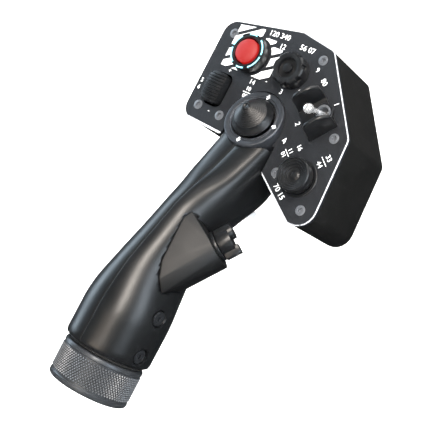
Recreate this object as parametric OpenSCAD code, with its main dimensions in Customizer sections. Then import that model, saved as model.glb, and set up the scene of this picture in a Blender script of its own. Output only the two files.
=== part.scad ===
// Collective-style flight grip: a control head on a leaning two-shell grip,
// held to its lever tube by a knurled locking collar.
// Frame: origin at the centre of the collar's lower face, +Z up the collar,
// the control panel faces -Y and +X is to its right. Millimetres.

/* [Locking collar] */
// Outside diameter of the knurled collar
collar_d = 48; // [46:0.5:52]
// Height of the collar
collar_h = 22.5; // [20:0.5:26]
// Diameter of the collar's thread bore
thread_d = 36; // [32:0.5:37]
// Length of the thread in the collar
thread_len = 11; // [8:0.5:12]
// Diameter of the adapter's spigot, which enters the lever tube
spigot_d = 31.8; // [30:0.2:32]

/* [Grip] */
// Width of the barrel, the grip's lower part
barrel_w = 50; // [46:0.5:56]
// Wall of the two grip shells
shell_wall = 2.6; // [2:0.1:3.2]
// Width of the neck where it meets the head
neck_w = 37; // [35:0.5:40]
// Gap between the collar and the grip
collar_gap = 1.8; // [1:0.1:3]

/* [Head] */
// Height of the dial's centre above the collar's lower face
dial_z = 178; // [172:0.5:190]
// Distance from the collar's axis back to the panel's front face
panel_y = 27; // [24:0.5:32]
// Depth of the head from the panel's front to its back
head_depth = 52; // [46:1:62]
// Thickness of the face plate
plate_t = 3; // [2.5:0.1:4]
// Chamfer round the face plate
plate_chamfer = 1.2; // [1:0.1:2]
// Wall of the head housing
head_wall = 2.5; // [2:0.1:3.5]

/* [Controls] */
// Diameter of the red button
button_d = 14.8; // [12:0.2:15.6]
// Travel of the red button
button_travel = 2.5; // [1.5:0.1:3]
// Diameter of the rotary knob
knob_d = 20; // [17:0.5:21]
// Length of the ribbed rocker
rocker_len = 19; // [16:0.5:20]
// Diameter of the dial ring under the cone hat
dial_d = 37; // [34:0.5:38]
// Lean of the dial ring away from the panel, in degrees
dial_tilt = 14; // [8:1:16]
// Base diameter of the cone hat
trim_hat_d = 25.6; // [23:0.2:26]
// Diameter of the dished hat
lower_hat_d = 20; // [18:0.5:21]
// Length of the toggle bat from its pivot to the centre of its tip
toggle_len = 18; // [15:0.5:19]
// Height of the toggle's guard walls
guard_h = 18.5; // [14:0.5:20]
// Diameter of the lever pod
pod_d = 26; // [24:0.5:27]

/* [Fits] */
// Radial clearance of a running fit
run_gap = 0.05; // [0.02:0.01:0.1]
// Radial clearance between fixed pieces
fit_gap = 0.2; // [0.1:0.05:0.3]

/* [Hidden] */
eps = 0.01;
cut = 60;

// Heights in the collar and the adapter
flange_z = thread_len + 1.2;
flange_t = 2.6;
lip_z = flange_z + flange_t + 2;
journal_r = 18.5;
flange_r = journal_r + 2.4;
adapter_r = 20;
adapter_top = 60;
adapter_bore_r = 14;
barrel_z = collar_h + collar_gap;

// The grip's stations, bottom to top: height, front edge, half width, half depth, squareness.
// Heights above the barrel follow it, and widths follow the barrel and the neck.
barrel_a = barrel_w / 2;
barrel_b = barrel_a + 1.4;
neck_a = neck_w / 2;
STATIONS = [
    [barrel_z, -24.7, barrel_a - 1.6, barrel_b - 1.6, 2],
    [barrel_z + 0.8, -25.9, barrel_a - 0.5, barrel_b - 0.5, 2],
    [barrel_z + 2.6, -26.3, barrel_a, barrel_b, 2],
    [47, -26, barrel_a, barrel_b, 2],
    [55, -25.2, barrel_a - 0.6, barrel_b - 0.4, 2],
    [62, -24.2, barrel_a - 1.9, barrel_b - 0.8, 2],
    [70, -22.6, barrel_a - 3.8, barrel_b - 1.1, 2],
    [78, -20.6, neck_a + 1, 24.6, 2],
    [87, -17.4, neck_a - 0.2, 23.8, 2],
    [97, -13.4, neck_a - 0.9, 23.4, 2],
    [107, -9.6, neck_a - 1.1, 24, 2],
    [117, -5.6, neck_a - 0.8, 25.5, 2],
    [128, 0.8, neck_a, 26, 2.2],
    [141, 9.5, neck_a, 24, 3.1],
    [155, 17, neck_a, 20.8, 3.6],
    [dial_z - 13, 22, neck_a, 18, 3.8]
];
SIDES = 48;
seam_gap = 0.05;

// Grip screws: two on each side, through the shells into the adapter
screw_zs = [31.5, 54.5];
screw_y = -3;
screw_head_r = 4.2;
screw_recess_r = 4.85;
screw_seat_x = 21.9;

// The pod for the index-finger lever, in a frame turned about Z
pod_turn = 23;
pod_lean = 35;
pod_r = pod_d / 2;
pod_end = [27.7, 1.5, 103];
pod_len = 29;
POD_CREST = [[8.4, -6.3, 113], [6.6, -8, 109], [8.5, -15.4, 83.6], [11.6, -15.9, 74.8],
    [15.7, -14.2, 68.8]];
pod_crest_r = 1.2;
sensor_r = 8;
lever_shaft_r = 2.5;
pod_collar_r = 9;
pod_collar_h = 2;

// The head's outline about the dial's centre: x, z and corner radius, clockwise from top left.
neck_slot_a = neck_a + 0.5;
slot_depth = 10;
HEAD = [
    [-53, 50, 9], [0.8, 58, 5], [25.2, 53.6, 5], [59.8, 10.3, 7], [63.2, -45, 11],
    [47.5, -45, 6], [neck_slot_a, -27, 2.4], [neck_slot_a, -slot_depth, 0.5],
    [-neck_slot_a, -slot_depth, 0.5], [-neck_slot_a, -15.8, 2.4], [-53, -14.4, 9]
];
PANEL_SCREWS = [[-44.5, 43.2], [21.2, 46.4], [51.1, 7.9], [53, -35.8], [27.6, -22.6], [-26.3, -6],
    [-44.1, -5]];
panel_screw_r = 1.5;
panel_head_r = 3;
post_len = 16;
bracket_screw_at = [9, 46];

// Places of the controls on the panel
button_at = [-24.2, 34.3];
knob_at = [7.6, 33.5];
rocker_at = [-36, 8];
toggle_at = [39, 18.5];
lower_hat_at = [43, -20];

// Red button
button_r = button_d / 2;
guard_bore_r = button_r + 1;
guard_r = guard_bore_r + 2.8;
guard_stem_r = guard_bore_r + 1.3;
guard_top = 8;
button_top = 10.5;
button_switch_z = -6 - button_travel;

// Rotary knob
knob_r = knob_d / 2;
knob_top = 9;
knob_notches = 8;
bushing_r = 4.5;
rotary_shaft_r = 3;

// Rocker
rocker_w = 12.6;
rocker_top = 6.2;
rocker_ribs = 8;
rocker_corner_r = 3.4;
rocker_curve = 30;
rocker_pivot = -4;
rocker_pin_r = 0.9;

// Dial and hats. A hat's sizes: cup inside, cup outside, ring outside, ring inside, yoke, sleeve,
// stem, pivot depth, cup's top
dial_r = dial_d / 2;
dial_face = 4.5;
hat_pin_r = 0.8;
TRIM_HAT = [12.2, 14.5, 11.2, 8.6, 7.6, 4.2, 2.5, -3, -2.22];
LOWER_HAT = [9.2, 11.5, 8.4, 6, 5.2, 3.6, 2, -4.5, -plate_t - 0.02];
hat_cup_floor = -15;

// Toggle
toggle_turn = 50;
toggle_rest = 12;
toggle_pivot = -3;
toggle_bush_r = 4.5;
toggle_pin_r = 0.8;
guard_half = 8.8;
guard_wall = 1.8;

// Board inside the head
board_z = -32;
board_t = 1.6;
BOARD_POSTS = [[-36, 4], [-36, 38], [30, 4], [30, 38]];

// Route of the wiring loom inside the grip, from the board down to the connector
LOOM = [[0, 55.6, dial_z + 1.2], [0, 54.2, 174], [0, 51.5, 168], [0, 47.5, 159], [-1, 43, 149],
    [-3, 38, 138], [-5, 29, 124], [-6, 19, 110], [-7, 11, 96], [-7, 5, 82], [-6, 2, 68], [-4, 1, 54],
    [-2, 0, 40], [0, 0, 28], [0, 0, 18.6]];
loom_r = 2.2;
loom_sides = 8;

function sq(c, n) = sign(c) * pow(abs(c), 2 / n);

// One ring of the grip at station s, pulled in by w
function ring(s, w) = [for (i = [0:SIDES - 1]) let (t = 360 * i / SIDES)
    [(s[2] - w) * sq(cos(t), s[4]), s[1] + s[3] + (s[3] - w) * sq(sin(t), s[4]), s[0]]];

function ring_faces(rings, n) = concat(
    [[for (i = [0:n - 1]) i]],
    [for (j = [0:rings - 2]) for (i = [0:n - 1])
        [j * n + i, (j + 1) * n + i, (j + 1) * n + (i + 1) % n, j * n + (i + 1) % n]],
    [[for (i = [n - 1:-1:0]) (rings - 1) * n + i]]);

// Solid through the stations; w shrinks it, bottom and top move its ends
module grip_form(w = 0, bottom = 0, top = 0) {
    last = len(STATIONS) - 1;
    rings = [for (j = [0:last]) let (s = STATIONS[j])
        ring([s[0] + (j < 3 ? bottom : 0) + (j == last ? top : 0), s[1], s[2], s[3], s[4]], w)];
    polyhedron(points = [for (r = rings) for (p = r) p], faces = ring_faces(last + 1, SIDES),
        convexity = 6);
}

function unit(v) = v / norm(v);
function left(v) = [-v[1], v[0]];
function meet(p, d, q, e) = p + d * ((q - p) * left(e)) / (d * left(e));

// Corner i of the outline with its two edges moved inwards by w
function inset_corner(pts, i, w) =
    let (n = len(pts), a = pts[(i + n - 1) % n], b = pts[i], c = pts[(i + 1) % n],
        d = unit([b[0] - a[0], b[1] - a[1]]), e = unit([c[0] - b[0], c[1] - b[1]]))
    meet([a[0], a[1]] - left(d) * w, d, [b[0], b[1]] - left(e) * w, e);
function turn_sign(pts, i) =
    let (n = len(pts), a = pts[(i + n - 1) % n], b = pts[i], c = pts[(i + 1) % n])
    sign((b[0] - a[0]) * (c[1] - b[1]) - (b[1] - a[1]) * (c[0] - b[0]));

// Points of a rounded corner p between a and c, as an arc of radius r
function corner_arc(a, p, c, r, steps) =
    let (u = unit(a - p), v = unit(c - p), half = acos(u * v) / 2, k = r / tan(half),
        o = p + unit(u + v) * r / sin(half), s = p + u * k - o, e = p + v * k - o,
        turn = (s[0] * e[1] - s[1] * e[0]) > 0 ? 1 : -1, sweep = turn * (180 - 2 * half))
    [for (j = [0:steps]) let (t = sweep * j / steps)
        o + [s[0] * cos(t) - s[1] * sin(t), s[0] * sin(t) + s[1] * cos(t)]];

// The head's outline, inset by w, with its corners rounded
function head_outline(w) =
    let (n = len(HEAD), sharp = [for (i = [0:n - 1]) inset_corner(HEAD, i, w)])
    [for (i = [0:n - 1]) let (r = max(0.3, HEAD[i][2] + w * (turn_sign(HEAD, i) > 0 ? 1 : -1)))
        for (q = corner_arc(sharp[(i + n - 1) % n], sharp[i], sharp[(i + 1) % n], r,
            HEAD[i][2] < 3 ? 2 : 6)) q];

// Frames: on the panel at p with +Z out of it, on the dial, on the pod's end
module on_panel(p = [0, 0]) translate([p[0], panel_y, dial_z + p[1]]) rotate([90, 0, 0]) children();
module on_dial() translate([0, panel_y - dial_face, dial_z]) rotate([90 - dial_tilt, 0, 0]) children();
module on_toggle() on_panel(toggle_at) rotate([0, 0, toggle_turn]) children();
module on_pod() rotate([0, 0, pod_turn]) translate(pod_end) rotate([0, pod_lean, 0]) children();

module tube(ro, ri, z0, z1) {
    translate([0, 0, z0]) difference() {
        cylinder(r = ro, h = z1 - z0, $fn = 64);
        translate([0, 0, -1]) cylinder(r = ri, h = z1 - z0 + 2, $fn = 64);
    }
}
module rod(r, z0, z1) translate([0, 0, z0]) cylinder(r = r, h = z1 - z0, $fn = 48);
module rounded(w, l, r, z0, z1) translate([0, 0, z0]) union() {
    translate([r - w / 2, -l / 2, 0]) cube([w - 2 * r, l, z1 - z0]);
    translate([-w / 2, r - l / 2, 0]) cube([w, l - 2 * r, z1 - z0]);
    for (x = [-1, 1], y = [-1, 1]) translate([x * (w / 2 - r), y * (l / 2 - r), 0])
        cylinder(r = r, h = z1 - z0, $fn = 32);
}
module hex(across, z0, z1) translate([0, 0, z0]) cylinder(d = across / cos(30), h = z1 - z0, $fn = 6);
module block(x, y, z0, z1) translate([-x / 2, -y / 2, z0]) cube([x, y, z1 - z0]);

/* Base */
module locking_collar() color("dimgray") rotate_extrude($fn = 96) polygon([
    [thread_d / 2, 0], [collar_d / 2 - 0.8, 0], [collar_d / 2 - 0.2, 0.8], [collar_d / 2 - 0.2, 3.2],
    [collar_d / 2, 3.6], [collar_d / 2, collar_h - 3.4], [collar_d / 2 - 0.3, collar_h - 3],
    [collar_d / 2 - 0.3, collar_h - 1], [collar_d / 2 - 1.2, collar_h],
    [journal_r + run_gap, collar_h], [journal_r + run_gap, lip_z],
    [flange_r + 0.4, lip_z], [flange_r + 0.4, thread_len], [thread_d / 2, thread_len]]);

module wiper_ring() color("black")
    tube(barrel_a - 2.6, journal_r + 0.2, collar_h + 0.3, barrel_z - 0.05);

module base_adapter() color("gray") difference() {
    union() {
        rod(spigot_d / 2, 0, flange_z);
        rod(flange_r, flange_z, flange_z + flange_t);
        rod(journal_r, flange_z + flange_t - eps, barrel_z + shell_wall + 0.2);
        rod(adapter_r, barrel_z + shell_wall + 0.2, adapter_top);
    }
    rod(adapter_bore_r, -1, adapter_top + 1);
    translate([-2, -spigot_d / 2 - 1, -1]) cube([4, 3, 9]);
    for (z = screw_zs, s = [-1, 1]) translate([0, screw_y, z]) rotate([0, s * 90, 0]) rod(1.5, 0, cut);
}

module connector_shell() color("silver") {
    difference() {
        union() {
            rod(adapter_bore_r - 0.02, 11, 14);
            rod(9, 3, 11.5);
        }
        rod(8, 2, 15);
        translate([-1, -10, 2]) cube([2, 3, 6]);
    }
}
module connector_insert() color("darkslategray") difference() {
    rod(8 - 0.02, 8, 16);
    for (i = [0:5]) rotate([0, 0, i * 60]) translate([4.8, 0, 0]) rod(0.7, 7, 17);
}
module connector_pins() color("gold")
    for (i = [0:5]) rotate([0, 0, i * 60]) translate([4.8, 0, 0]) rod(0.7 - 0.01, 4.5, 17.5);

/* Grip */
module pod_form(g = 0) rotate([0, 0, pod_turn]) hull() {
    translate(pod_end) rotate([0, pod_lean, 0]) translate([0, 0, -pod_len])
        cylinder(r = pod_r + g, h = pod_len, $fn = 64);
    for (p = POD_CREST) translate(p) sphere(r = pod_crest_r + g, $fn = 16);
}

module rear_button_slot(g, y0, y1) translate([2 - g, y0, 125.4 - g]) cube([8 + 2 * g, y1 - y0, 5.6 + 2 * g]);

// One shell: side is -1 for the left and 1 for the right
module grip_shell(side) difference() {
    union() {
        difference() {
            grip_form();
            grip_form(shell_wall, shell_wall, 2);
        }
        for (z = screw_zs) intersection() {
            translate([0, screw_y, z]) rotate([0, side * 90, 0]) rod(6.6, adapter_r + 0.05, 40);
            grip_form(0.5);
        }
    }
    translate([-side * cut + side * seam_gap - cut, -cut, 0]) cube([2 * cut, 3 * cut, 4 * cut]);
    rod(journal_r + fit_gap, 0, barrel_z + shell_wall + 1);
    on_dial() rod(dial_r + fit_gap, -24, 20);
    for (z = screw_zs) translate([0, screw_y, z]) rotate([0, side * 90, 0]) {
        rod(1.7, 0, cut);
        rod(screw_recess_r, screw_seat_x, cut);
    }
}
module grip_shell_left() color("#26282b") grip_shell(-1);
module grip_shell_right() color("#26282b") difference() {
    grip_shell(1);
    pod_form(0.1);
    rear_button_slot(0.3, 20, 70);
}

module grip_screws() color("#333333") for (z = screw_zs, s = [-1, 1])
    translate([0, screw_y, z]) rotate([0, s * 90, 0]) difference() {
        union() {
            rod(screw_head_r, screw_seat_x, screw_seat_x + 2);
            rod(1.48, 15, screw_seat_x + 0.5);
        }
        hex(2.5, screw_seat_x + 0.8, cut);
    }

module lever_pod() color("#202224") difference() {
    pod_form();
    on_pod() {
        rod(sensor_r + 0.1, -16.6, 1);
        rod(2, -cut, 0);
    }
}
module pod_collar() color("#2a2c2e") on_pod() tube(pod_collar_r, lever_shaft_r + run_gap, 0, pod_collar_h);
module lever_sensor() color("#1e3a2a") on_pod() difference() {
    rod(sensor_r, -16.4, -2.3);
    rod(lever_shaft_r + 0.3, -12.4, 0);
}
module lever_shaft() color("silver") on_pod() rod(lever_shaft_r, -12, 9);
module finger_lever() color("#1c1e20") on_pod() difference() {
    union() {
        rod(7, pod_collar_h + 0.4, 9.9);
        intersection() {
            rod(9.8, pod_collar_h + 0.6, 11.6);
            translate([4.2, -3.6, 0]) cube([8, 7.2, 12]);
        }
        translate([-4, 0, 0]) rod(4.8, pod_collar_h + 0.6, 12.6);
    }
    rod(lever_shaft_r, 1, 9);
}

module rear_button() color("silver") {
    rear_button_slot(0, 41.9, 58);
    translate([2, 40.6, 124.2]) cube([8, 1.4, 8]);
}
module rear_switch() color("black") translate([0.5, 29, 122]) cube([11, 10, 12]);

/* Head */
module head_housing() color("#191816") difference() {
    union() {
        on_panel() translate([0, 0, -head_depth]) difference() {
            linear_extrude(head_depth - plate_t - 0.05, convexity = 6) polygon(head_outline(0.2));
            translate([0, 0, head_wall]) linear_extrude(head_depth, convexity = 6)
                polygon(head_outline(head_wall + 0.2));
        }
        for (p = PANEL_SCREWS) on_panel(p) rod(3.4, 1 - head_depth, -plate_t - 0.05);
        for (p = BOARD_POSTS) on_panel(p) rod(2.8, -head_depth + head_wall - eps, board_z - board_t - 0.02);
    }
    for (p = PANEL_SCREWS) on_panel(p) rod(panel_screw_r, -plate_t - post_len + 2, 0);
    for (p = BOARD_POSTS) on_panel(p) rod(1.25, board_z - 10, 0);
    on_dial() rod(dial_r + fit_gap, -16, 20);
    on_panel([0, -8]) block(10, 10, -32, -17);
    for (s = [-1, 1]) translate([s * bracket_screw_at[0], bracket_screw_at[1], dial_z - 15]) rod(1.5, 0, 12);
}

module neck_bracket() color("gray") difference() {
    union() {
        translate([-12.5, 30, 140]) cube([25, 19, dial_z - slot_depth - 139.85]);
        translate([-15.2, 33, 145]) cube([30.4, 11, 14]);
    }
    translate([-5.5, 34.5, 130]) cube([11, 20, 50]);
    for (s = [-1, 1]) translate([s * bracket_screw_at[0], bracket_screw_at[1], dial_z - 30]) rod(1.25, 0, 40);
    on_dial() rod(dial_r + fit_gap, -24, 20);
}
module bracket_screws() color("silver") for (s = [-1, 1])
    translate([s * bracket_screw_at[0], bracket_screw_at[1], dial_z - slot_depth + head_wall + 0.2])
    difference() {
        union() {
            rod(2.6, 0.02, 2.4);
            rod(1.24, -12, 0.5);
        }
        hex(2, 1, 3);
    }

// Cuts the plate's bevel along one of its lower edges, from corner i of the outline
module edge_bevel(i) {
    p = HEAD[i];
    d = [HEAD[i + 1][0] - p[0], HEAD[i + 1][1] - p[1]];
    translate([p[0], p[1], 0]) rotate([0, 0, atan2(d[1], d[0])]) translate([-2, 0, 0])
        rotate([90, 0, 90]) linear_extrude(norm(d) + 4)
            polygon([[1, -plate_chamfer - 1], [1, 1], [-plate_chamfer - 1, 1]]);
}
module bevel_plate() difference() {
    intersection() {
        translate([0, 0, -plate_t]) linear_extrude(plate_t, convexity = 6) polygon(head_outline(0));
        hull() for (z = [0.5, -plate_t - 0.5]) translate([0, 0, z + (z > 0 ? 0 : -1)]) linear_extrude(1)
            polygon(head_outline(plate_chamfer + z));
    }
    edge_bevel(5);
    edge_bevel(9);
}
module face_plate() color("#2b2f36") difference() {
    on_panel() bevel_plate();
    for (p = PANEL_SCREWS) on_panel(p) {
        rod(panel_screw_r + 0.2, -cut, 1);
        translate([0, 0, -2]) cylinder(r1 = 1.7, r2 = panel_head_r + 0.15, h = 2, $fn = 48);
    }
    on_panel(button_at) rod(guard_stem_r + fit_gap, -cut, 1);
    on_panel(knob_at) rod(bushing_r + fit_gap, -cut, 1);
    on_panel(rocker_at) rounded(rocker_w + 1.4, rocker_len + 2.4, rocker_corner_r + 0.7, -cut, 1);
    on_panel(toggle_at) rod(toggle_bush_r + fit_gap, -cut, 1);
    on_panel(lower_hat_at) rod(LOWER_HAT[1] - 1.9, -cut, 1);
    on_dial() rod(dial_r + fit_gap, -30, 20);
}
module panel_screws() color("silver") for (p = PANEL_SCREWS) on_panel(p) difference() {
    union() {
        translate([0, 0, -1.95]) cylinder(r1 = panel_screw_r, r2 = panel_head_r, h = 1.9, $fn = 48);
        rod(panel_screw_r - 0.02, -plate_t - 9, -1.9);
    }
    hex(2, -1.2, 1);
}

/* Red button */
module button_guard() color("#2a2c2e") on_panel(button_at) difference() {
    union() {
        rod(guard_r, 0.02, guard_top);
        rod(guard_stem_r, -6.5, 0.1);
    }
    rod(guard_bore_r, -8, -0.35);
    rod(guard_bore_r, 1.5, 10);
    rod(button_r + 0.3, -1, 2);
    translate([0, 0, guard_top - 0.5]) tube(guard_r - 0.25, guard_r - 1.2, 0, 1);
}
module guard_nut() color("silver") on_panel(button_at) difference() {
    hex(2 * guard_stem_r + 3.6, -plate_t - 2.5, -plate_t - 0.02);
    rod(guard_stem_r + 0.02, -cut, 1);
}
module red_button() color("#ee2a15") on_panel(button_at) rotate_extrude($fn = 72) polygon(concat(
    [[0, -6.3], [2.6, -6.3], [2.6, -2], [guard_bore_r - run_gap, -2], [guard_bore_r - run_gap, -0.4],
        [button_r, -0.4], [button_r, button_top - 2.6]],
    [for (t = [10:10:80]) [button_r * cos(t), button_top - 2.6 + 2.6 * sin(t)]],
    [[0, button_top]]));
module button_spring() color("silver") on_panel(button_at) tube(5.4, 4.4, button_switch_z + 0.05, -2.05);
module button_switch() color("black") on_panel(button_at) difference() {
    block(14, 14, -20, button_switch_z);
    rod(2.8, -14, 0);
}

/* Rotary knob */
module rotary_knob() color("#222426") on_panel(knob_at) difference() {
    union() {
        rod(knob_r, 0.6, knob_top - 0.8);
        translate([0, 0, knob_top - 0.8]) cylinder(r1 = knob_r, r2 = knob_r - 0.8, h = 0.8, $fn = 64);
    }
    tube(6.2, 2.6, knob_top - 2.6, knob_top + 1);
    for (i = [0:knob_notches - 1]) rotate([0, 0, 360 / knob_notches * (i + 0.5)])
        translate([knob_r - 1.1, -1.3, knob_top - 4.6]) cube([3, 2.6, 6]);
    rod(7, 0, 3.4);
    rod(rotary_shaft_r, 0, 6);
}
module rotary_shaft() color("silver") on_panel(knob_at) rod(rotary_shaft_r, -14, 6);
module rotary_encoder() color("#7a7f86") on_panel(knob_at) difference() {
    union() {
        rod(bushing_r, -9, 3);
        block(14, 13, -17, -8.5);
    }
    rod(rotary_shaft_r + run_gap, -14.5, 5);
}
module rotary_nut() color("silver") on_panel(knob_at) difference() {
    hex(11, 0.02, 2);
    rod(bushing_r + 0.02, -1, 3);
}

/* Ribbed rocker */
module trim_rocker() color("#2a2d31") on_panel(rocker_at) difference() {
    union() {
        intersection() {
            rounded(rocker_w, rocker_len, rocker_corner_r, -1.8, rocker_top + 1);
            translate([0, 0, rocker_top - rocker_curve]) rotate([0, 90, 0])
                translate([0, 0, -10]) cylinder(r = rocker_curve, h = 20, $fn = 128);
        }
        block(8, 6, rocker_pivot - 2.5, -1.7);
    }
    for (i = [0:rocker_ribs], y = (i - rocker_ribs / 2) * rocker_len / (rocker_ribs + 2))
        translate([-10, y - 0.4, rocker_top - rocker_curve + sqrt(pow(rocker_curve, 2) - y * y) - 0.9])
            cube([20, 0.8, 3]);
    translate([0, 0, rocker_pivot]) rotate([0, 90, 0]) rod(rocker_pin_r + run_gap, -10, 10);
}
module rocker_pin() color("silver") on_panel(rocker_at)
    translate([0, 0, rocker_pivot]) rotate([0, 90, 0]) rod(rocker_pin_r, -6.4, 6.4);
module rocker_switch() color("black") on_panel(rocker_at) difference() {
    union() {
        block(13, 14, -20, -9);
        for (s = [-1, 1]) translate([s * 5.5, 0, 0]) block(2, 3.6, -10, -2.5);
    }
    translate([0, 0, rocker_pivot]) rotate([0, 90, 0]) rod(rocker_pin_r, -cut, cut);
}

/* Dial ring and the two hats */
module dial_ring() color("#33363a") on_dial() rotate_extrude($fn = 96) polygon([
    [trim_hat_d / 2 + 0.9, 0], [dial_r - 3.9, 0], [dial_r - 3.9, -0.5], [dial_r - 3.4, -0.5],
    [dial_r - 3.4, 0], [dial_r - 0.7, 0], [dial_r, -0.7], [dial_r, -13], [TRIM_HAT[1] + 0.05, -13],
    [TRIM_HAT[1] + 0.05, -2.2],
    [trim_hat_d / 2 + 0.9, -2.2]]);

module hat_cup(s) difference() {
    rod(s[1], hat_cup_floor, s[8]);
    rod(s[0], hat_cup_floor + 2, 5);
    translate([0, 0, s[7]]) rotate([0, 90, 0]) rod(hat_pin_r + run_gap, -s[0] - 1.4, s[0] + 1.4);
}
module hat_gimbal(s) translate([0, 0, s[7]]) difference() {
    union() {
        tube(s[2], s[3], -1.5, 1.2);
        rotate([0, 90, 0]) for (k = [0, 1]) mirror([0, 0, k]) rod(hat_pin_r, s[2] - 0.3, s[0] + 1);
    }
    rotate([90, 0, 0]) rod(hat_pin_r + run_gap, -cut, cut);
}
module hat_yoke(s) translate([0, 0, s[7]]) difference() {
    union() {
        rod(s[4], -1.2, 1);
        rod(s[5], -7, 1);
        rotate([90, 0, 0]) for (k = [0, 1]) mirror([0, 0, k]) rod(hat_pin_r, s[4] - 0.3, s[2] - 0.4);
    }
    rod(s[6] + run_gap, -cut, cut);
}

module trim_hat_cup() color("black") on_dial() hat_cup(TRIM_HAT);
module trim_hat_gimbal() color("silver") on_dial() hat_gimbal(TRIM_HAT);
module trim_hat_yoke() color("gray") on_dial() hat_yoke(TRIM_HAT);
module trim_hat_cap() color("#2c2f33") on_dial() {
    r = trim_hat_d / 2;
    step = (r - 5.4) / 8;
    rotate_extrude($fn = 96) polygon(concat(
        [[0, 5.2], [TRIM_HAT[6], 5.2], [r - 2.2, 3.2], [r - 1.2, 0.7], [r, 0.7], [r, 1.4], [r - 2.6, 4.2]],
        [for (i = [0:7], q = [[r - 2.9 - step * i, 5 + 0.95 * i],
            [r - 3.1 - step * (i + 1), 5.35 + 0.95 * i]]) q],
        [[2.4, 12.6], [1.9, 13.2], [1.2, 13.2], [0.6, 12.8], [0, 12.8]]));
    rod(TRIM_HAT[6], TRIM_HAT[7] - 7.6, 5.4);
}

module lower_hat_bezel() color("#26292d") on_panel(lower_hat_at) rotate_extrude($fn = 72) polygon([
    [8.6, -1], [8.6, 0.4], [10.8, 0.4], [11.2, 0.02], [9.5, 0.02], [9.5, -1]]);
module lower_hat_cup() color("black") on_panel(lower_hat_at) hat_cup(LOWER_HAT);
module lower_hat_gimbal() color("silver") on_panel(lower_hat_at) hat_gimbal(LOWER_HAT);
module lower_hat_yoke() color("gray") on_panel(lower_hat_at) hat_yoke(LOWER_HAT);
module lower_hat_cap() color("#2c2f33") on_panel(lower_hat_at) {
    r = lower_hat_d / 2;
    rotate_extrude($fn = 96) polygon(concat(
        [[0, 4.6], [0, -1.2], [6.4, -1.2], [6.8, 2.8], [r - 0.6, 2.8], [r, 3.3], [r, 8.4], [r - 0.6, 9]],
        [for (i = [0:3], q = [[r - 0.9 - 1.4 * i, 9 - 0.8 * i], [r - 1.3 - 1.4 * i, 8.2 - 0.8 * i]]) q],
        [[2.6, 5.6], [1.6, 6.2], [0, 6.4]]));
    rod(LOWER_HAT[6], LOWER_HAT[7] - 6.6, 4);
}

/* Toggle */
module toggle_tilted() on_toggle() translate([0, 0, toggle_pivot]) rotate([0, -toggle_rest, 0]) children();
module toggle_bat() color("silver") toggle_tilted() difference() {
    union() {
        sphere(r = 2.4, $fn = 48);
        translate([0, 0, 1]) cylinder(r1 = 1.5, r2 = 1.7, h = toggle_len - 3, $fn = 48);
        translate([0, 0, toggle_len - 3.4]) cylinder(r1 = 1.8, r2 = 2.9, h = 2.6, $fn = 48);
        translate([0, 0, toggle_len]) sphere(r = 3, $fn = 48);
        rod(1, -6, 0);
    }
    rotate([90, 0, 0]) rod(toggle_pin_r + run_gap, -5, 5);
}
module toggle_pin() color("gray") on_toggle() translate([0, 0, toggle_pivot]) rotate([90, 0, 0])
    rod(toggle_pin_r, -4.2, 4.2);
module toggle_bushing() color("silver") on_toggle() difference() {
    rod(toggle_bush_r, -9, 3.4);
    rod(2.6, -7, 5);
    translate([-3.3, -1.6, -7]) cube([6.6, 3.2, 5]);
    translate([0, 0, 0.2]) cylinder(r1 = 2.55, r2 = 3.3, h = 3.3, $fn = 48);
    translate([0, 0, -10]) block(6, 3.2, 0, 4);
    translate([0, 0, toggle_pivot]) rotate([90, 0, 0]) rod(toggle_pin_r, -cut, cut);
}
module toggle_nut() color("silver") on_toggle() difference() {
    hex(11, 1.3, 3);
    rod(toggle_bush_r + 0.02, 0, 5);
}
module toggle_guard() color("#1b1c1e") on_toggle() translate([-5, 0, 0]) difference() {
    union() {
        translate([-9, -guard_half - guard_wall, 0.02]) cube([18, 2 * (guard_half + guard_wall), 1.2]);
        for (s = [-1, 1]) translate([0, s * (guard_half + guard_wall / 2), 0]) rotate([90, 0, 0])
            translate([0, 0, -guard_wall / 2]) linear_extrude(guard_wall) union() {
                polygon([[-9, 0.02], [-5.4, guard_h - 3], [-3.2, guard_h - 0.6], [0, guard_h], [4, guard_h],
                    [7.6, guard_h - 1.6], [10.6, guard_h - 5], [9, 0.02]]);
            }
    }
    translate([5, 0, 0]) rod(toggle_bush_r + 0.1, -1, 3);
}
module toggle_switch() color("#8a2f22") on_toggle() difference() {
    block(13, 13, -21, -9.02);
    block(7, 4, -12, 0);
}

/* Electronics */
module main_board() color("darkgreen") difference() {
    on_panel() translate([0, 0, board_z - board_t]) linear_extrude(board_t) intersection() {
        translate([-39.5, 0]) square([74, 42]);
        polygon(head_outline(head_wall + 1));
    }
    for (p = BOARD_POSTS) on_panel(p) rod(1.6, -cut, 0);
}
module board_parts() color("#222222") {
    on_panel([-4, 24]) block(12, 12, board_z + 0.02, board_z + 1.6);
    on_panel([-28, 14]) block(14, 6, board_z + 0.02, board_z + 6);
    on_panel([18, 14]) block(14, 6, board_z + 0.02, board_z + 6);
    on_panel([-24, 36]) block(8, 8, board_z + 0.02, board_z + 2);
    on_panel([0, 5]) block(12, 6, board_z + 0.02, board_z + 6);
}
module board_screws() color("silver") for (p = BOARD_POSTS) on_panel(p) {
    rod(2.4, board_z + 0.02, board_z + 1.8);
    rod(1.24, board_z - 8, board_z + 0.1);
}

function loom_tangent(i) = unit(LOOM[min(i + 1, len(LOOM) - 1)] - LOOM[max(i - 1, 0)]);
module wiring_loom() color("#3a3a3a") {
    pts = [for (i = [0:len(LOOM) - 1])
        let (t = loom_tangent(i), u = unit(cross(t, [0, 1, 0.3])), v = cross(t, u))
        for (j = [0:loom_sides - 1]) let (a = 360 * j / loom_sides)
        LOOM[i] + loom_r * (u * cos(a) + v * sin(a))];
    polyhedron(points = pts, faces = ring_faces(len(LOOM), loom_sides), convexity = 6);
}

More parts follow.
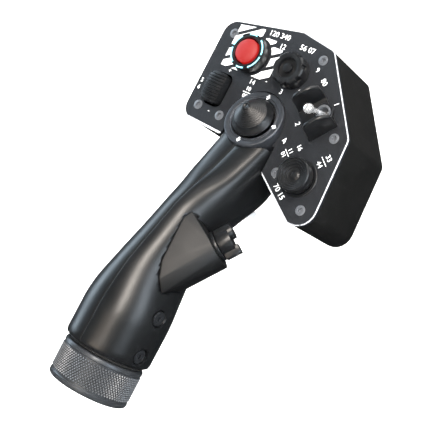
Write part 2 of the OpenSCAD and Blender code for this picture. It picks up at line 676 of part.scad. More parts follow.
locking_collar();
wiper_ring();
base_adapter();
connector_shell();
connector_insert();
connector_pins();
grip_shell_left();
grip_shell_right();
grip_screws();
lever_pod();
pod_collar();
lever_shaft();
finger_lever();
lever_sensor();
rear_button();
rear_switch();
neck_bracket();
bracket_screws();
head_housing();
face_plate();
panel_screws();
button_guard();
guard_nut();
red_button();
button_spring();
button_switch();
rotary_knob();
rotary_shaft();
rotary_encoder();
rotary_nut();
trim_rocker();
rocker_pin();
rocker_switch();
dial_ring();
trim_hat_cup();
trim_hat_gimbal();
trim_hat_yoke();
trim_hat_cap();
lower_hat_bezel();
lower_hat_cup();
lower_hat_gimbal();
lower_hat_yoke();
lower_hat_cap();
toggle_bat();
toggle_pin();
toggle_bushing();
toggle_nut();
toggle_guard();
toggle_switch();
main_board();
board_parts();
board_screws();
wiring_loom();
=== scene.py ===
import bpy
import math
from mathutils import Matrix, Vector


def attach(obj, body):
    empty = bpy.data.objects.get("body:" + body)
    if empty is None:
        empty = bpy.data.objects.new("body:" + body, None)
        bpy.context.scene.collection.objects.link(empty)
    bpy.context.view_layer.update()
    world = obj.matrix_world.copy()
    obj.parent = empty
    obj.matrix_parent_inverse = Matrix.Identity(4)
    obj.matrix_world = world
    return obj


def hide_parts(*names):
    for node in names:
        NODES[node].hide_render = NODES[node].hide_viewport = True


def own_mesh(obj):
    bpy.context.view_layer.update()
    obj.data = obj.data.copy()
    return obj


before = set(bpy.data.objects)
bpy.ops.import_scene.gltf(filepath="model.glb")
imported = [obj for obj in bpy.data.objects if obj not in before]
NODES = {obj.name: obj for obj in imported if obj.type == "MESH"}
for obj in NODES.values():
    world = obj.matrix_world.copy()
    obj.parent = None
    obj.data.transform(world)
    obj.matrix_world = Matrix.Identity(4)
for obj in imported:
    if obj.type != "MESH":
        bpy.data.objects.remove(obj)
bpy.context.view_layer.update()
MM = 0.001

# ---------------------------------------------------------------- camera
scene = bpy.context.scene
scene.view_settings.view_transform = "Standard"
HEADING, TILT, ROLL, TURN = map(math.radians, (34.29, 0.12, 0.55, 28.0))
EYE = (0.32904, -0.44935, 0.11959)
SENSOR_MM, LENS_MM = 36, 83.72
ahead = Vector((-math.sin(HEADING) * math.cos(TILT), math.cos(HEADING) * math.cos(TILT), -math.sin(TILT)))
level = Vector((math.cos(HEADING), math.sin(HEADING), 0))
down = -level.cross(ahead)
across = level * math.cos(ROLL) + down * math.sin(ROLL)
below = down * math.cos(ROLL) - level * math.sin(ROLL)
right = across * math.cos(TURN) - below * math.sin(TURN)
up = -(across * math.sin(TURN) + below * math.cos(TURN))
cam_data = bpy.data.cameras.new("camera")
cam_data.sensor_width = SENSOR_MM
cam_data.lens = LENS_MM
cam_data.clip_start = 0.01
camera = bpy.data.objects.new("camera", cam_data)
bpy.context.collection.objects.link(camera)
axes = Matrix((right, up, -ahead)).transposed().to_4x4()
camera.matrix_world = Matrix.Translation(EYE) @ axes
scene.camera = camera


# ---------------------------------------------------------------- studio
AIM = Vector((0.0, 0.0, 0.12))


def soft_light(name, azimuth, height, distance, size, power, colour):
    """A rectangular lamp turned to the grip's middle, placed by azimuth in degrees and metres."""
    data = bpy.data.lights.new(name, "AREA")
    data.shape = "RECTANGLE"
    data.size, data.size_y = size
    data.energy = power
    data.color = colour
    lamp = bpy.data.objects.new(name, data)
    bpy.context.collection.objects.link(lamp)
    a = math.radians(azimuth)
    lamp.location = (distance * math.sin(a), -distance * math.cos(a), height)
    lamp.rotation_euler = (AIM - lamp.location).to_track_quat("-Z", "Y").to_euler()


soft_light("warm_key", 20, 0.65, 1.3, (0.26, 1.3), 36, (1.0, 0.92, 0.84))
soft_light("cool_right", 68, 0.45, 1.3, (0.45, 1.0), 12, (0.80, 0.90, 1.0))
soft_light("cool_side", -78, 0.35, 1.1, (0.4, 1.2), 11, (0.72, 0.87, 1.0))
soft_light("top_soft", 0, 1.5, 0.3, (0.9, 0.9), 8, (1.0, 1.0, 1.0))
soft_light("low_warm", 10, -0.25, 0.9, (0.5, 0.25), 2.5, (1.0, 0.85, 0.7))

world = bpy.data.worlds.new("studio")
scene.world = world
world.use_nodes = True
world.node_tree.nodes["Background"].inputs[0].default_value = (0.9, 0.95, 1.0, 1)
world.node_tree.nodes["Background"].inputs[1].default_value = 0.06


# ---------------------------------------------------------------- materials
def srgb(code, alpha=1.0):
    """Hex sRGB to the linear values that the shaders take."""
    out = []
    for i in (1, 3, 5):
        c = int(code[i:i + 2], 16) / 255
        out.append(c / 12.92 if c <= 0.04045 else ((c + 0.055) / 1.055) ** 2.4)
    return (*out, alpha)


def add(tree, kind, links=(), **settings):
    """Adds a node. Settings that start with in_ fill its inputs, and others set properties.
    links are (input, socket)."""
    n = tree.nodes.new(kind)
    for key, value in settings.items():
        if key.startswith("in_"):
            n.inputs[key[3:].replace("_", " ")].default_value = value
        else:
            setattr(n, key, value)
    for key, socket in links:
        tree.links.new(socket, n.inputs[key])
    return n


def finish(name, colour, rough, metallic=0.0, second=None, mottle_mm=6.0, grain_mm=0.5, grain_depth_mm=0.02,
           rough_swing=0.06, emission=None, emission_strength=0.0, edge=None, coat=0.0, groove=None):
    """A moulded, coated or machined finish: a slow mottle between two tones, a roughness that wanders a
    little as handling leaves it, and a fine grain as bump. edge = (hex, roughness) paints the faces that
    slant like the plate's bevel with a pale tone, a painted highlight; groove = (low, high, hex) darkens a
    knurl's valleys with painted shade, between two radii about Z in millimetres."""
    m = bpy.data.materials.new(name)
    m.use_nodes = True
    t = m.node_tree
    shader = t.nodes["Principled BSDF"]
    shader.inputs["Metallic"].default_value = metallic
    if coat:
        shader.inputs["Coat Weight"].default_value = coat
        shader.inputs["Coat Roughness"].default_value = 0.12
    place = add(t, "ShaderNodeTexCoord")
    mottle = add(t, "ShaderNodeTexNoise", [("Vector", place.outputs["Object"])],
                 in_Scale=1000 / mottle_mm, in_Detail=4.0, in_Roughness=0.55)
    tones = add(t, "ShaderNodeMix", [("Factor", mottle.outputs["Fac"])], data_type="RGBA")
    tones.inputs[6].default_value = srgb(colour)
    tones.inputs[7].default_value = srgb(second or colour)
    tone = tones.outputs[2]
    spread = add(t, "ShaderNodeMapRange", [("Value", mottle.outputs["Fac"])],
                 in_From_Min=0.3, in_From_Max=0.7)
    spread.inputs["To Min"].default_value = rough - rough_swing
    spread.inputs["To Max"].default_value = rough + rough_swing
    shine = spread.outputs["Result"]
    # The bevel's faces get a pale tone and a smoother roughness; the pale tone is a painted highlight.
    if edge:
        facing = add(t, "ShaderNodeSeparateXYZ", [("Vector", place.outputs["Normal"])])
        slant = add(t, "ShaderNodeMapRange", [("Value", facing.outputs["Y"])],
                    in_From_Min=-0.80, in_From_Max=-0.76)
        flank = add(t, "ShaderNodeMapRange", [("Value", facing.outputs["Y"])],
                    in_From_Min=-0.64, in_From_Max=-0.60)
        bevel = add(t, "ShaderNodeMath", [(0, slant.outputs["Result"]), (1, flank.outputs["Result"])],
                    operation="SUBTRACT", use_clamp=True)
        over = add(t, "ShaderNodeMix", [("Factor", bevel.outputs[0]), (6, tone)], data_type="RGBA")
        over.inputs[7].default_value = srgb(edge[0])
        tone = over.outputs[2]
        sheen = add(t, "ShaderNodeMix", [("Factor", bevel.outputs[0]), (2, shine)], data_type="FLOAT")
        sheen.inputs[3].default_value = edge[1]
        shine = sheen.outputs[0]
    # Painted shade in a knurl's valleys: the tone darkens towards the groove colour below the given radii.
    if groove:
        flat = add(t, "ShaderNodeVectorMath", [(0, place.outputs["Object"])], operation="MULTIPLY")
        flat.inputs[1].default_value = (1, 1, 0)
        radius = add(t, "ShaderNodeVectorMath", [(0, flat.outputs[0])], operation="LENGTH")
        height = add(t, "ShaderNodeMapRange", [("Value", radius.outputs["Value"])],
                     in_From_Min=groove[0] * MM, in_From_Max=groove[1] * MM)
        painted_valley_shade = add(t, "ShaderNodeMix", [("Factor", height.outputs["Result"]), (7, tone)], data_type="RGBA")
        painted_valley_shade.inputs[6].default_value = srgb(groove[2])
        tone = painted_valley_shade.outputs[2]
    t.links.new(tone, shader.inputs["Base Color"])
    t.links.new(shine, shader.inputs["Roughness"])
    if grain_depth_mm:
        grain = add(t, "ShaderNodeTexNoise", [("Vector", place.outputs["Object"])],
                    in_Scale=1000 / grain_mm, in_Detail=2.0)
        bump = add(t, "ShaderNodeBump", [("Height", grain.outputs["Fac"])], in_Strength=1.0,
                   in_Distance=grain_depth_mm * MM)
        t.links.new(bump.outputs["Normal"], shader.inputs["Normal"])
    if emission:
        shader.inputs["Emission Color"].default_value = srgb(emission)
        shader.inputs["Emission Strength"].default_value = emission_strength
    return m


# Satin moulded polycarbonate: near black with a soft sheen that smears long highlights down the grip.
GRIP = finish("satin_moulded_polycarbonate", "#0a0b0c", 0.34, second="#101214", mottle_mm=22, grain_mm=0.5,
              grain_depth_mm=0.012, rough_swing=0.03)
# The pod's own moulding: the grip's black made darker, as painted shade for the pod's dark facet, with a
# matter mould texture.
POD = finish("matt_moulded_polycarbonate", "#060708", 0.52, second="#0a0b0d", mottle_mm=16, grain_mm=0.5,
             grain_depth_mm=0.02, rough_swing=0.03)
# Spark-eroded ABS: a flatter black that kills reflections on the housing's sides.
HOUSING = finish("spark_textured_abs", "#040403", 0.66, second="#080807", mottle_mm=14, grain_mm=0.7,
                 grain_depth_mm=0.05, rough_swing=0.05)
# Powder-coated aluminium plate: charcoal with a pebbled grain; the milled bevel is smooth and painted near
# white, a painted highlight for the light it catches.
PANEL = finish("powder_coated_plate", "#0a0c10", 0.50, second="#191d23", mottle_mm=1.1, grain_mm=0.9,
               grain_depth_mm=0.13, rough_swing=0.05, edge=("#d4d7dc", 0.28))
# Moulded nylon controls: a shade lighter than the panel, satin from handling.
CONTROL = finish("moulded_glass_filled_nylon", "#0c0d0f", 0.36, second="#141618", mottle_mm=5, grain_mm=0.45,
                 grain_depth_mm=0.015, rough_swing=0.06)
# Turned and anodised ring under the cone hat.
DIAL = finish("machined_black_anodised_ring", "#3c3f44", 0.34, metallic=0.7, second="#4c5056", mottle_mm=5,
              grain_mm=0.4, grain_depth_mm=0.01, rough_swing=0.05)
# Gunmetal anodised aluminium. The knurl is a shade brighter, worn on its crests, and its valleys are darkened
# with painted shade.
COLLAR = finish("gunmetal_anodised_aluminium", "#3a3d40", 0.38, metallic=0.65, second="#45484c", mottle_mm=3,
                grain_mm=0.3, grain_depth_mm=0.006, rough_swing=0.05)
KNURL = finish("knurled_gunmetal", "#6c6f73", 0.42, metallic=0.6, second="#787b7f", mottle_mm=3, grain_mm=0.3,
               grain_depth_mm=0.006, rough_swing=0.05, groove=(23.25, 23.75, "#0d0d0e"))
# Screen-printed white ink: flat, a little thin, with a faint emission that makes it glow as painted light.
INK = finish("screen_printed_white_ink", "#dfe3e6", 0.62, second="#f2f4f5", mottle_mm=0.9, grain_mm=0.2,
             grain_depth_mm=0.004, emission="#e8ecef", emission_strength=0.25)
# Acetal cap: deep red with a faint red emission, a painted glow.
RED = finish("satin_red_acetal", "#500100", 0.6, second="#5c0201", mottle_mm=4, grain_mm=0.3,
             grain_depth_mm=0.004, emission="#e00c04", emission_strength=0.5)
# Light pipe in the guard: the diffuser's cold white segments.
LIGHT = finish("diffused_light_pipe", "#58b8cc", 0.30, second="#9adbe8", mottle_mm=1.5, grain_depth_mm=0,
               emission="#7fdcf0", emission_strength=0.9)
# Polished chrome plate, as on a bat toggle.
CHROME = finish("polished_chrome_plate", "#eceef0", 0.12, metallic=0.8, second="#f4f5f6", mottle_mm=3,
                grain_depth_mm=0, rough_swing=0.02)
# Zinc-plated screw steel: dull silver with a fine turned grain.
STEEL = finish("zinc_plated_steel", "#75797e", 0.36, metallic=0.75, second="#8c9096", mottle_mm=1.2,
               grain_mm=0.25, grain_depth_mm=0.008)
DARK_STEEL = finish("black_oxide_steel", "#2a2c2f", 0.32, metallic=0.7, second="#36393d", mottle_mm=1.2,
                    grain_mm=0.25, grain_depth_mm=0.008)
ALLOY = finish("turned_aluminium", "#a9acb0", 0.32, metallic=1.0, second="#b9bcc0", mottle_mm=2.5,
               grain_mm=0.3, grain_depth_mm=0.006)
# Pale button moulding on the neck's back.
PALE = finish("pale_grey_acetal", "#b9bcc0", 0.40, second="#c9ccd0", mottle_mm=4, grain_mm=0.4,
              grain_depth_mm=0.01)
RUBBER = finish("matt_nitrile_rubber", "#101010", 0.80, second="#181818", mottle_mm=2, grain_mm=0.3,
                grain_depth_mm=0.02)
NYLON = finish("black_switch_moulding", "#17181a", 0.50, second="#202124", mottle_mm=3, grain_mm=0.3,
               grain_depth_mm=0.01)
BOARD = finish("green_solder_mask", "#0f4a2a", 0.30, second="#125a33", mottle_mm=2.2, grain_mm=0.6,
               grain_depth_mm=0.01, coat=0.3)
GOLD = finish("gold_flashed_brass", "#d8b45a", 0.22, metallic=1.0, second="#e3c274", mottle_mm=1,
              grain_depth_mm=0)


# ---------------------------------------------------------------- modelling helpers
def choose(obj):
    """Leaves obj alone selected and active."""
    if bpy.context.object and bpy.context.object.mode != "OBJECT":
        bpy.ops.object.mode_set(mode="OBJECT")
    bpy.ops.object.select_all(action="DESELECT")
    obj.select_set(True)
    bpy.context.view_layer.objects.active = obj


def settle(obj):
    """Puts the object's place into its mesh."""
    choose(obj)
    bpy.ops.object.transform_apply(location=True, rotation=True, scale=True)
    return obj


def edit(obj, *steps):
    """Runs edit-mode steps on the whole mesh of obj."""
    choose(obj)
    bpy.ops.object.mode_set(mode="EDIT")
    bpy.ops.mesh.select_all(action="SELECT")
    for step in steps:
        step()
    bpy.ops.object.mode_set(mode="OBJECT")
    return obj


def merge(distance):
    """An edit step that joins points closer than this, in metres."""
    return lambda: bpy.ops.mesh.remove_doubles(threshold=distance)


def outwards():
    bpy.ops.mesh.normals_make_consistent(inside=False)


def modify(obj, kind, **settings):
    """Adds a modifier and applies it."""
    choose(obj)
    mod = obj.modifiers.new(kind.lower(), kind)
    for key, value in settings.items():
        setattr(mod, key, value)
    bpy.ops.object.modifier_apply(modifier=mod.name)
    return obj


def smooth(obj, angle=35):
    """Shades smooth across every edge that bends less than this many degrees."""
    choose(obj)
    bpy.ops.object.shade_smooth_by_angle(angle=math.radians(angle))
    return obj


def paint(obj, material):
    obj.data.materials.clear()
    obj.data.materials.append(material)
    return obj


def cut(obj, cutter, operation="DIFFERENCE"):
    modify(obj, "BOOLEAN", operation=operation, object=cutter, solver="EXACT")
    bpy.data.objects.remove(cutter, do_unlink=True)
    return obj


def copy_of(node, name):
    """A merged copy of a CAD node's mesh, as a new piece."""
    obj = bpy.data.objects.new(name, NODES[node].data.copy())
    bpy.context.collection.objects.link(obj)
    return edit(obj, merge(2e-6))


def refined(node, material, body, edge_mm=0.3, limit=38, segments=2):
    """A CAD node with its sharp edges rounded, which stands for the node."""
    obj = copy_of(node, node + "_finished")
    if edge_mm:
        modify(obj, "BEVEL", width=edge_mm * MM, segments=segments, limit_method="ANGLE",
               angle_limit=math.radians(limit), use_clamp_overlap=True, miter_outer="MITER_ARC")
    smooth(obj)
    paint(obj, material)
    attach(obj, body)
    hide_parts(node)
    return obj


def rod(name, radius, low, high, place, sides=64):
    """A turned rod in the frame `place`, from low to high along its Z, in millimetres."""
    bpy.ops.mesh.primitive_cone_add(vertices=sides, radius1=radius * MM, radius2=radius * MM,
                                    depth=(high - low) * MM)
    obj = bpy.context.object
    obj.name = name
    obj.matrix_world = place @ Matrix.Translation((0, 0, (low + high) / 2 * MM))
    return settle(obj)


def shift(x, y, z):
    return Matrix.Translation((x * MM, y * MM, z * MM))


def turn(degrees, axis):
    return Matrix.Rotation(math.radians(degrees), 4, axis)


# The plate's front, and the tilted dial's centre, stand and lean. Places on the plate count from the dial.
PANEL_Y, DIAL_Z, DIAL_FACE, DIAL_TILT = 27.0, 178.0, 4.5, 14.0
BUTTON = (-24.2, 34.3)
KNOB = (7.6, 33.5)
SCREWS = ((-44.5, 43.2), (21.2, 46.4), (51.1, 7.9), (53, -35.8), (27.6, -22.6), (-26.3, -6), (-44.1, -5))


def on_panel(p=0.0, q=0.0):
    """Frame on the panel's front: X right, Y up, Z out towards the hand."""
    return shift(p, PANEL_Y, DIAL_Z + q) @ turn(90, "X")


ON_DIAL = shift(0, PANEL_Y - DIAL_FACE, DIAL_Z) @ turn(90 - DIAL_TILT, "X")


def grid_form(name, columns, points):
    """A grid wrapped through rows of points; the first and last columns meet."""
    bpy.ops.object.select_all(action="DESELECT")
    rows = len(points)
    bpy.ops.mesh.primitive_grid_add(x_subdivisions=columns, y_subdivisions=rows - 1, size=1)
    obj = bpy.context.object
    obj.name = name
    for j in range(rows):
        for i in range(columns + 1):
            obj.data.vertices[j * (columns + 1) + i].co = points[j][i % columns]
    edit(obj, merge(1e-7))
    return obj


def cap_ends(obj):
    """Closes the open rims of a wrapped grid."""
    def close():
        bpy.ops.mesh.select_all(action="DESELECT")
        bpy.ops.mesh.select_mode(type="EDGE")
        bpy.ops.mesh.select_non_manifold()
        bpy.ops.mesh.fill_holes(sides=0)
        bpy.ops.mesh.select_all(action="SELECT")
        outwards()
    return edit(obj, close)


# ---------------------------------------------------------------- grip shells
# Stations of the grip, bottom to top: height, front edge, half width, half depth, squareness, in millimetres.
STATIONS = [
    (24.3, -24.7, 23.4, 24.8, 2), (25.1, -25.9, 24.5, 25.9, 2), (26.9, -26.3, 25, 26.4, 2),
    (47, -26, 25, 26.4, 2), (55, -25.2, 24.4, 26, 2), (62, -24.2, 23.1, 25.6, 2), (70, -22.6, 21.2, 25.3, 2),
    (78, -20.6, 19.5, 24.6, 2), (87, -17.4, 18.3, 23.8, 2), (97, -13.4, 17.6, 23.4, 2),
    (107, -9.6, 17.4, 24, 2), (117, -5.6, 17.7, 25.5, 2), (128, 0.8, 18.5, 26, 2.2),
    (141, 9.5, 18.5, 24, 3.1), (155, 17, 18.5, 20.8, 3.6), (165, 22, 18.5, 18, 3.8)]
FOOT, TOP = STATIONS[0][0], STATIONS[-1][0]
STRAIGHT = 3                    # spans, counted from the foot, that are straight lines
GRIP_SIDES = 96
WALL, WEB = 2.6, 2.6            # the shells' wall, and their thickness across the foot
HOLE_R = 18.7                   # clears the adapter's journal below and the trim hat's cup above
SCREW_ROWS = (31.5, 54.5)


def smooth_station(z):
    """The station at height z on a smooth curve through the stations."""
    k = max(i for i in range(len(STATIONS) - 1) if STATIONS[i][0] <= z + 1e-9)
    a, b = STATIONS[k], STATIONS[k + 1]
    before, after = STATIONS[max(k - 1, 0)], STATIONS[min(k + 2, len(STATIONS) - 1)]
    h = b[0] - a[0]
    u = (z - a[0]) / h
    out = [z]
    for c in range(1, 5):
        sa = (b[c] - before[c]) / (b[0] - before[0]) * h
        sb = (after[c] - a[c]) / (after[0] - a[0]) * h
        if k < STRAIGHT:
            out.append(a[c] + (b[c] - a[c]) * u)
        else:
            out.append((2 * u**3 - 3 * u**2 + 1) * a[c] + (u**3 - 2 * u**2 + u) * sa
                       + (3 * u**2 - 2 * u**3) * b[c] + (u**3 - u**2) * sb)
    return out


def section(s, wall):
    """The ring of points round one station, moved inwards by a wall."""
    z, front, a, b, n = s
    ring = []
    for i in range(GRIP_SIDES):
        t = 2 * math.pi * i / GRIP_SIDES
        c, d = math.cos(t), math.sin(t)
        x = (a - wall) * math.copysign(abs(c) ** (2 / n), c)
        y = front + b + (b - wall) * math.copysign(abs(d) ** (2 / n), d)
        ring.append((x * MM, y * MM, z * MM))
    return ring


def grip_form(name, wall, bottom, top):
    """The whole grip as one closed form, drawn in by a wall, raised at the foot and stretched at the top."""
    heights = [z + bottom for z in (FOOT, 24.6, 25.1, 25.9, 26.9)]
    heights += [30 + 2.5 * i for i in range(54)] + [164.0, TOP]
    rings = []
    for z in heights:
        s = smooth_station(min(max(z - (bottom if z < 29.5 else 0), FOOT), TOP))
        rings.append(section([z + (top if z == TOP else 0)] + s[1:], wall))
    return cap_ends(grid_form(name, GRIP_SIDES, rings))


def shell(side, name):
    """One half of the grip, hollow, with its screw recesses; side is 1 for the right and -1 for the left."""
    body = grip_form(name, 0, 0, 0)
    cut(body, grip_form("inside", WALL, WEB, 2))
    cut(body, rod("journal_hole", HOLE_R, 0, 28, Matrix()))
    cut(body, rod("dial_hole", HOLE_R, -24, 20, ON_DIAL))
    for z in SCREW_ROWS:
        across_barrel = shift(0, -3, z) @ turn(90 * side, "Y")
        cut(body, rod("screw_recess", 4.85, 21.9, 40, across_barrel))
        floor = rod("recess_floor", 6.6, 20.05, 21.9, across_barrel)
        cut(floor, rod("screw_hole", 1.7, 10, 40, across_barrel))
        cut(body, floor, "UNION")
    if side > 0:
        cut(body, copy_of("lever_pod", "pod_cutter"))
        bpy.ops.mesh.primitive_cube_add(size=1)
        slot = bpy.context.object
        slot.matrix_world = shift(6, 50, 128.2) @ Matrix.Diagonal((8.6 * MM, 20 * MM, 6.2 * MM, 1))
        cut(body, settle(slot))

    def halve():
        bpy.ops.mesh.bisect(plane_co=(side * 0.05 * MM, 0, 0), plane_no=(side, 0, 0), use_fill=True,
                            clear_inner=True, threshold=1e-7)
        bpy.ops.mesh.region_to_loop()
        bpy.ops.mesh.bevel(offset=0.28 * MM, segments=2, clamp_overlap=True)
        bpy.ops.mesh.select_all(action="SELECT")
    edit(body, halve, merge(1e-6))
    smooth(body, 40)
    paint(body, GRIP)
    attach(body, "grip")
    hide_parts("grip_shell_right" if side > 0 else "grip_shell_left")


shell(-1, "left_shell")
shell(1, "right_shell")
refined("lever_pod", POD, "grip", 1.0, 24, 4)

# ---------------------------------------------------------------- collar
KNURLS, ROWS = 84, 13           # crests round the band, and steps up it from edge to edge
LOW, HIGH = 3.7, 19.1
CREST, VALLEY, BAND_EDGE = 24.0, 23.2, 23.25


def lathe(name, profile, sides=128):
    """Turns a closed profile of (radius, height) in millimetres about Z."""
    rows = [[(r * MM * math.cos(2 * math.pi * i / sides), r * MM * math.sin(2 * math.pi * i / sides), z * MM)
             for i in range(sides)] for r, z in profile + profile[:1]]
    return edit(grid_form(name, sides, rows), merge(1e-7), outwards)


collar = lathe("knurled_collar", [
    (18, 0.3), (18.3, 0), (22.8, 0), (23.5, 0.5), (23.8, 1.1), (23.8, 2.7), (23.3, 3.3), (23.3, LOW + 0.1),
    (23.3, HIGH - 0.1), (23.3, 19.4), (23.75, 19.9), (23.75, 21.3), (23.4, 22.0), (22.7, 22.45), (22, 22.5),
    (18.6, 22.5), (18.55, 22.4), (18.55, 16.8), (21.3, 16.8), (21.3, 11), (18, 11)])
band = []
for j in range(ROWS + 1):
    z = LOW + (HIGH - LOW) * j / ROWS
    edge_row = j in (0, ROWS)
    row = []
    for i in range(KNURLS * 2):
        r = BAND_EDGE if edge_row else (CREST if (i + j) % 2 == 0 else VALLEY)
        t = math.pi * i / KNURLS
        row.append((r * MM * math.cos(t), r * MM * math.sin(t), z * MM))
    band.append(row)
knurl = grid_form("knurl_band", KNURLS * 2, band)
edit(knurl, outwards, lambda: bpy.ops.mesh.quads_convert_to_tris(quad_method="SHORTEST_DIAGONAL"))
smooth(collar)
paint(collar, COLLAR)
paint(knurl, KNURL)
for piece in (collar, knurl):
    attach(piece, "collar")
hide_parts("locking_collar")

# ---------------------------------------------------------------- head and controls
refined("head_housing", HOUSING, "grip", 0.8, 50, 3)
plate = copy_of("face_plate", "face_plate_finished")
smooth(plate, 12)
paint(plate, PANEL)
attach(plate, "grip")
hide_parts("face_plate")
heads = refined("panel_screws", STEEL, "grip", 0.15)
for p, q in SCREWS:
    cut(heads, rod("hex_socket", 1.6, -1.6, 1, on_panel(p, q), 6))
refined("button_guard", CONTROL, "grip", 0.35)
refined("red_button", RED, "red_button", 0.4)
# The spring closes from 6.4 to about 3.9 mm against its switch as the button goes in.
spring = refined("button_spring", STEEL, "grip", 0)
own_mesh(spring)
refined("rotary_knob", CONTROL, "rotary_knob", 0.3)
refined("trim_rocker", CONTROL, "trim_rocker", 0.2)
refined("dial_ring", DIAL, "grip", 0.25)
refined("trim_hat_cap", CONTROL, "trim_cap", 0.12)
refined("lower_hat_bezel", CONTROL, "grip", 0.15)
refined("lower_hat_cap", CONTROL, "lower_cap", 0.15)
refined("toggle_bat", CHROME, "toggle", 0.3, 30)
refined("toggle_bushing", STEEL, "grip", 0.15)
refined("toggle_nut", DARK_STEEL, "grip", 0.2)
refined("toggle_guard", CONTROL, "grip", 0.35)
refined("finger_lever", CONTROL, "finger_lever", 0.4)
refined("pod_collar", CONTROL, "grip", 0.3)
refined("grip_screws", DARK_STEEL, "grip", 0.2)
refined("rear_button", PALE, "rear_button", 0.6)
refined("wiper_ring", RUBBER, "grip", 0.2)

for names, material in (
        (("base_adapter", "neck_bracket", "trim_hat_gimbal", "trim_hat_yoke", "lower_hat_gimbal",
          "lower_hat_yoke"), ALLOY),
        (("connector_shell",), CHROME),
        (("connector_insert", "rear_switch", "button_switch", "rocker_switch", "trim_hat_cup",
          "lower_hat_cup", "toggle_switch", "board_parts"), NYLON),
        (("connector_pins",), GOLD),
        (("lever_shaft", "bracket_screws", "guard_nut", "rotary_shaft", "rotary_encoder",
          "rotary_nut", "rocker_pin", "toggle_pin", "board_screws"), STEEL),
        (("lever_sensor", "main_board"), BOARD),
        (("wiring_loom",), RUBBER)):
    for n in names:
        NODES[n].data.materials.clear()
        NODES[n].data.materials.append(material)


# ---------------------------------------------------------------- printed marks
FONT_PER_DIGIT = 1.38           # a font's size over the height of its digits


def flat_mark(name, outline, place, material=INK, body="grip", lift=0.03, thick=0.04):
    """A thin printed shape from its corners, in millimetres, on the frame `place`."""
    bpy.ops.object.select_all(action="DESELECT")
    bpy.ops.mesh.primitive_circle_add(vertices=len(outline), radius=1, fill_type="NGON")
    obj = bpy.context.object
    obj.name = name
    for v, (x, y) in zip(obj.data.vertices, outline):
        v.co = (x * MM, y * MM, lift * MM)
    obj.matrix_world = place
    settle(obj)
    edit(obj, lambda: bpy.ops.mesh.extrude_region_move(
        TRANSFORM_OT_translate={"value": tuple(place.to_3x3() @ Vector((0, 0, thick * MM)))}),
        lambda: bpy.ops.mesh.select_all(action="SELECT"), outwards)
    paint(obj, material)
    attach(obj, body)


def figure(name, text, p, q, height, lean):
    """A plain number printed on the panel."""
    data = bpy.data.curves.new(name, "FONT")
    data.body = text
    data.size = height * FONT_PER_DIGIT * MM
    data.align_x, data.align_y = "CENTER", "CENTER"
    data.extrude = 0.02 * MM
    data.resolution_u = 3
    obj = bpy.data.objects.new(name, data)
    bpy.context.collection.objects.link(obj)
    choose(obj)
    bpy.ops.object.convert(target="MESH")
    obj = bpy.context.object
    obj.matrix_world = on_panel(p, q) @ turn(lean, "Z") @ shift(0, 0, 0.05)
    settle(obj)
    edit(obj, merge(1e-7), outwards)
    paint(obj, INK)
    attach(obj, "grip")


for i, (text, p, q, height, lean) in enumerate([
        ("120 340", -13.5, 51.3, 3.4, 3), ("56 07", 8.4, 49.1, 3.4, 0), ("12", -8, 45.6, 3.2, 2),
        ("9", 21.1, 40, 3.0, -10), ("80", 28.6, 34.8, 3.2, -38), ("0", 16.7, 24.4, 3.0, 0),
        ("1", 42.4, 25.9, 3.2, -50), ("2", 25.5, 7.4, 3.2, -50), ("3", 5.5, 20.8, 3.2, 0),
        ("14", -15.9, 19.7, 3.0, 0), ("10", -16, 15.2, 2.6, 0), ("00", -16.2, 10.6, 2.6, 0),
        ("+", -34.3, 21.1, 3.0, 0), ("5", -49.8, 9.6, 2.8, 0), ("6", -49.8, 5.0, 2.8, 0),
        ("-", -34.7, -5.8, 3.0, 0), ("4", 22.8, -4.4, 3.8, 0), ("16", 34, -4.4, 2.8, -38),
        ("11", 29.8, -8.2, 2.6, -38), ("01", 26.6, -11.6, 2.6, -38), ("33", 54.0, -3.4, 3.0, -38),
        ("44", 50.4, -8.6, 3.0, -38), ("70 15", 35.3, -31.7, 3.4, -33)]):
    figure("panel_figure_%02d" % (i + 1), text, p, q, height, lean)


def bar(name, p, q, length, width, lean):
    """A plain line between two legends."""
    x, y = length / 2, width / 2
    flat_mark(name, [(-x, -y), (x, -y), (x, y), (-x, y)], on_panel(p, q) @ turn(lean, "Z"))


bar("bar_left", -16.1, 12.9, 5.4, 0.35, 0)
bar("bar_right", 28.3, -9.9, 5.2, 0.35, -38)
bar("bar_outer", 52.2, -6.0, 6.4, 0.35, -38)

ARROW = [(-0.5, 13.9), (0.5, 13.9), (0.5, 15.1), (1.4, 15.1), (0, 17), (-1.4, 15.1), (-0.5, 15.1)]
for name, angle in (("up", 0), ("right", -90), ("down", 180)):
    flat_mark("dial_arrow_" + name, ARROW, ON_DIAL @ turn(angle, "Z"), lift=0.04)

STRIPE_PITCH, STRIPE_WIDTH, STRIPE_LEAN = 8, 4.6, 31


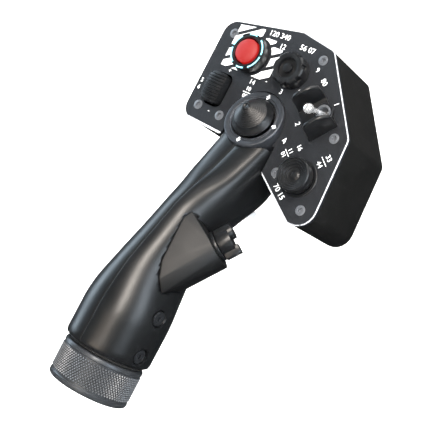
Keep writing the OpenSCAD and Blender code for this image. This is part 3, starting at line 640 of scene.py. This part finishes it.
def stripe_field():
    """Slanting white bars round the red button, clipped to the plate and clear of the guard, the knob and
    the legends above."""
    bpy.ops.object.select_all(action="DESELECT")
    pieces = []
    for k in range(-5, 6):
        bpy.ops.mesh.primitive_plane_add(size=1)
        strip = bpy.context.object
        strip.matrix_world = (shift(BUTTON[0], BUTTON[1] + STRIPE_PITCH * k, 0) @ turn(STRIPE_LEAN, "Z")
                              @ Matrix.Diagonal((70 * MM, STRIPE_WIDTH * MM, 1, 1)))
        pieces.append(settle(strip))
    choose(pieces[0])
    for s in pieces:
        s.select_set(True)
    bpy.ops.object.join()
    field = bpy.context.object
    field.name = "warning_stripes"
    # The field's four sides and the plate's sloping edge, each as a point and the way out.
    cuts = [((-42.6, 0), (-1, 0)), ((-6.6, 0), (1, 0)), ((0, 22.8), (0, -1)), ((0, 51.6), (0, 1)),
            ((-46.5, 49.0), (-0.147, 0.989))]

    def clip():
        for (x, y), (nx, ny) in cuts:
            bpy.ops.mesh.select_all(action="SELECT")
            bpy.ops.mesh.bisect(plane_co=(x * MM, y * MM, 0), plane_no=(nx, ny, 0), clear_outer=True)
        bpy.ops.mesh.select_all(action="SELECT")
        bpy.ops.mesh.extrude_region_move(TRANSFORM_OT_translate={"value": (0, 0, 0.04 * MM)})
        bpy.ops.mesh.select_all(action="SELECT")
        outwards()
    edit(field, clip)
    for centre, radius in ((BUTTON, 12.6), (KNOB, 11.4)):
        cut(field, rod("clearance", radius, -1, 1, shift(centre[0], centre[1], 0)))
    for low_p, low_q in ((-24.5, 47.4), (-13.6, 43.6)):
        bpy.ops.mesh.primitive_cube_add(size=1)
        legend_gap = bpy.context.object
        legend_gap.matrix_world = (shift(low_p + 20, low_q + 10, 0)
                                   @ Matrix.Diagonal((40 * MM, 20 * MM, 2 * MM, 1)))
        cut(field, settle(legend_gap))
    field.data.transform(on_panel() @ shift(0, 0, 0.02))
    paint(field, INK)
    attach(field, "grip")


stripe_field()

# Six light segments round the red button, in the guard's front groove.
ARC_STEPS, ARC_IN, ARC_OUT = 10, 10.1, 11.0
for i, (start, end) in enumerate(((4, 56), (80, 108), (136, 176), (184, 236), (260, 286), (304, 356))):
    arc = [(ARC_IN, start + (end - start) * k / ARC_STEPS) for k in range(ARC_STEPS + 1)]
    arc += [(ARC_OUT, end - (end - start) * k / ARC_STEPS) for k in range(ARC_STEPS + 1)]
    flat_mark("guard_light_%d" % (i + 1),
              [(r * math.cos(math.radians(a)), r * math.sin(math.radians(a))) for r, a in arc],
              on_panel(*BUTTON) @ shift(0, 0, 7.5), LIGHT, lift=0.02, thick=0.4)

# ---------------------------------------------------------------- backdrop
bpy.ops.object.select_all(action="DESELECT")
# A round floor that curves up into a wall, as (radius, height) in metres. The middle ring is nearly a point.
SWEEP_PROFILE = [(1e-4, -0.03), (0.7, -0.03), (1.1, 0.0), (1.5, 0.12), (1.85, 0.4), (2.0, 0.8), (2.0, 3.0)]
SWEEP_SIDES = 64
angles = [2 * math.pi * i / SWEEP_SIDES for i in range(SWEEP_SIDES)]
sweep = grid_form("pale_floor", SWEEP_SIDES, [[(r * math.cos(a), r * math.sin(a), z) for a in angles]
                                              for r, z in SWEEP_PROFILE])
edit(sweep, lambda: bpy.ops.mesh.fill_holes(sides=3))
choose(sweep)
bpy.ops.object.shade_smooth()
PAPER = finish("pale_paper_sweep", "#f3f3f2", 0.9, second="#ffffff", mottle_mm=60, grain_mm=3,
               grain_depth_mm=0.0, emission="#ffffff", emission_strength=0.62)
paint(sweep, PAPER)
sweep.visible_glossy = False
